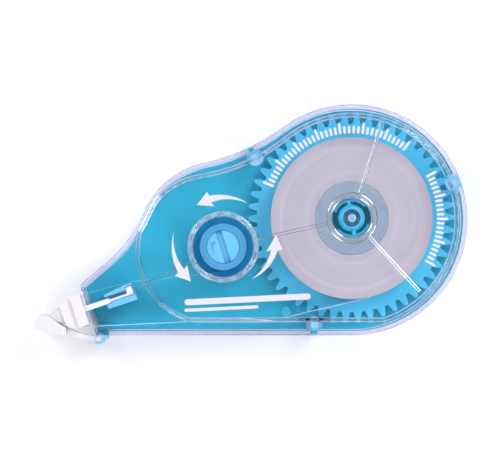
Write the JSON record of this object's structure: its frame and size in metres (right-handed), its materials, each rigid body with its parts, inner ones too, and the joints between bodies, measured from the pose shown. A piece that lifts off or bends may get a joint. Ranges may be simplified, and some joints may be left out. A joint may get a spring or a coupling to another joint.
{
  "type": "correction tape roller",
  "caption": "Flat drop-shaped tape dispenser: clear front, geared supply and take-up spools, flexing applicator tip and hinged tip cap.",
  "frame": {"origin": "where the supply spool's axis meets the flat back face", "axes": "+Z through the thickness, from the back face to the clear front; +X away from the applicator tip, along the flat lower edge; +Y from the flat lower edge to the shoulder"},
  "size_m": [0.1087, 0.0601, 0.0149],
  "materials": {
    "clear_plastic": "clear, polished",
    "teal_plastic": "satin",
    "gear_plastic": "smooth moulded, slightly translucent",
    "clutch_plastic": "smooth moulded",
    "core_plastic": "smooth moulded",
    "coated_tape": "edges of wound coated film, satin",
    "sleeve_plastic": "smooth moulded",
    "knob_plastic": "smooth moulded",
    "carrier_film": "glazed carrier film",
    "tip_plastic": "smooth, milky",
    "cap_plastic": "smooth, milky translucent"
  },
  "bodies": {
    "housing": {"front_shell": "clear_plastic", "back_shell": "teal_plastic", "feed_tape": "coated_tape", "return_tape": "carrier_film"},
    "gear": {"supply_gear": "gear_plastic", "clutch_spring": "clutch_plastic"},
    "roll": {"supply_core": "core_plastic", "tape_roll": "coated_tape"},
    "takeup": {"takeup_pinion": "gear_plastic", "takeup_core": "sleeve_plastic", "rewind_knob": "knob_plastic", "used_tape": "carrier_film"},
    "tip": {"applicator_tip": "tip_plastic"},
    "cap": {"tip_cap": "cap_plastic"}
  },
  "joints": [
    {"name": "supply_spin", "type": "hinge", "parent": "housing", "child": "gear", "pos_m": [0, 0, 0.003], "axis": [0, 0, 1], "continuous": true},
    {"name": "takeup_spin", "type": "hinge", "parent": "housing", "child": "takeup", "pos_m": [-0.03221, -0.0072, 0.003], "axis": [0, 0, 1], "continuous": true},
    {"name": "clutch_slip", "type": "hinge", "parent": "gear", "child": "roll", "pos_m": [0, 0, 0.007], "axis": [0, 0, 1], "continuous": true},
    {"name": "tip_flex", "type": "hinge", "parent": "housing", "child": "tip", "pos_m": [-0.05568, -0.0182, 0.0071], "axis": [0, 0, -1], "range_deg": [0, 3], "stiffness_Nm_per_rad": 0.3, "deforming": ["feed_tape", "return_tape"]},
    {"name": "cap_hinge", "type": "hinge", "parent": "housing", "child": "cap", "pos_m": [-0.06335, -0.0303, 0.0071], "axis": [0, 0, 1], "range_deg": [0, 175]}
  ],
  "couplings": [
    {"joint": "takeup_spin", "follows": "supply_spin", "ratio": -3.125}
  ]
}
